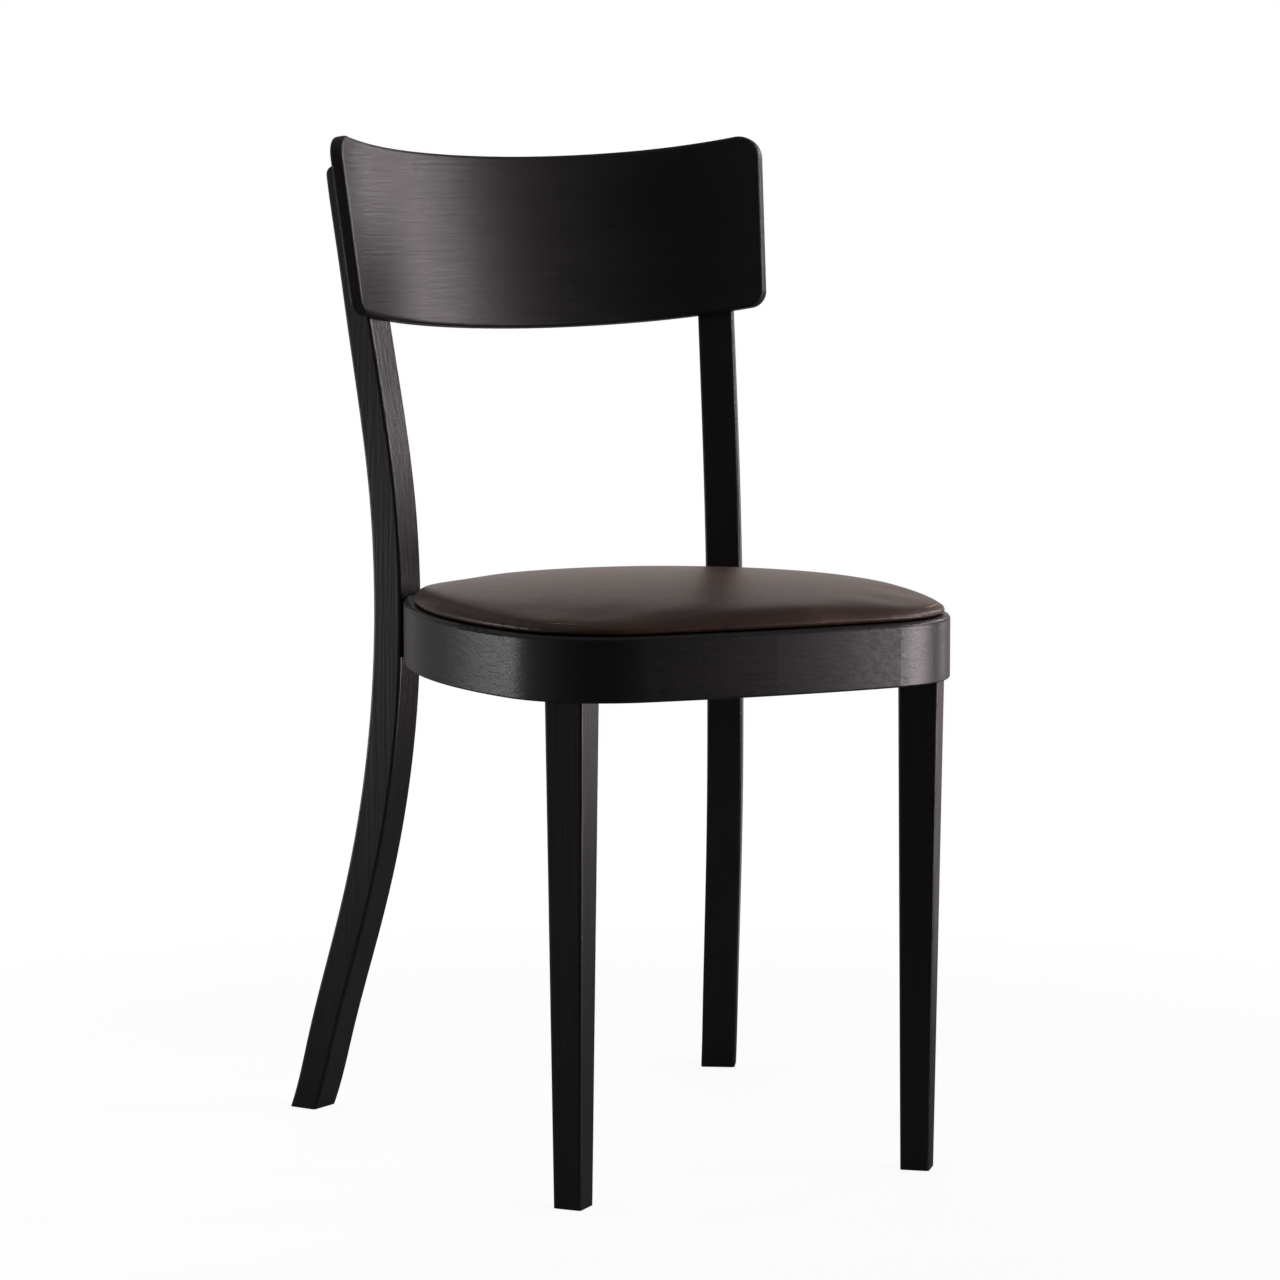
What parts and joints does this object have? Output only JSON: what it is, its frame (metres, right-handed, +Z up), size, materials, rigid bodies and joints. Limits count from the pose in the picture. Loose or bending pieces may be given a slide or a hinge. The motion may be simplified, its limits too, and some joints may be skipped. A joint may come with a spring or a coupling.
{
  "type": "bentwood bistro chair",
  "caption": "Bentwood bistro chair with a curved plywood backrest, a bent seat ring with a leather pad, tapered front legs and bent rear legs.",
  "frame": {"origin": "on the floor, at the middle of the chair's width and depth", "axes": "+Z up, the front of the chair faces -Y, +X is to the right of a viewer who stands in front of it"},
  "size_m": [0.4202, 0.4904, 0.8105],
  "materials": {
    "black_stained_beech": "satin, stained black, open grain",
    "black_stained_plywood": "satin, stained black, moulded veneers",
    "brown_leather": "satin, smooth upholstery leather",
    "seat_foam": "matt, upholstery foam",
    "birch_plywood": "matt, bare",
    "bare_beech": "matt, bare",
    "black_dust_cloth": "matt, spun cloth",
    "zinc_plated_steel": "satin, zinc plated",
    "brass": "satin"
  },
  "bodies": {
    "root": {"seat_ring": "black_stained_beech", "front_leg_left": "black_stained_beech", "front_leg_right": "black_stained_beech", "rear_leg_left": "black_stained_beech", "rear_leg_right": "black_stained_beech", "backrest_panel": "black_stained_plywood", "seat_board": "birch_plywood", "seat_foam": "seat_foam", "seat_cover": "brown_leather", "dust_cover": "black_dust_cloth", "cover_staples": "zinc_plated_steel", "front_corner_block_left": "bare_beech", "front_corner_block_right": "bare_beech", "rear_corner_block_left": "bare_beech", "rear_corner_block_right": "bare_beech", "corner_block_screws": "zinc_plated_steel", "seat_screws": "zinc_plated_steel", "rear_leg_bolts": "zinc_plated_steel", "rear_leg_washers": "zinc_plated_steel", "rear_leg_inserts": "brass", "backrest_screws": "zinc_plated_steel", "backrest_screw_plugs": "black_stained_beech"}
  },
  "joints": []
}
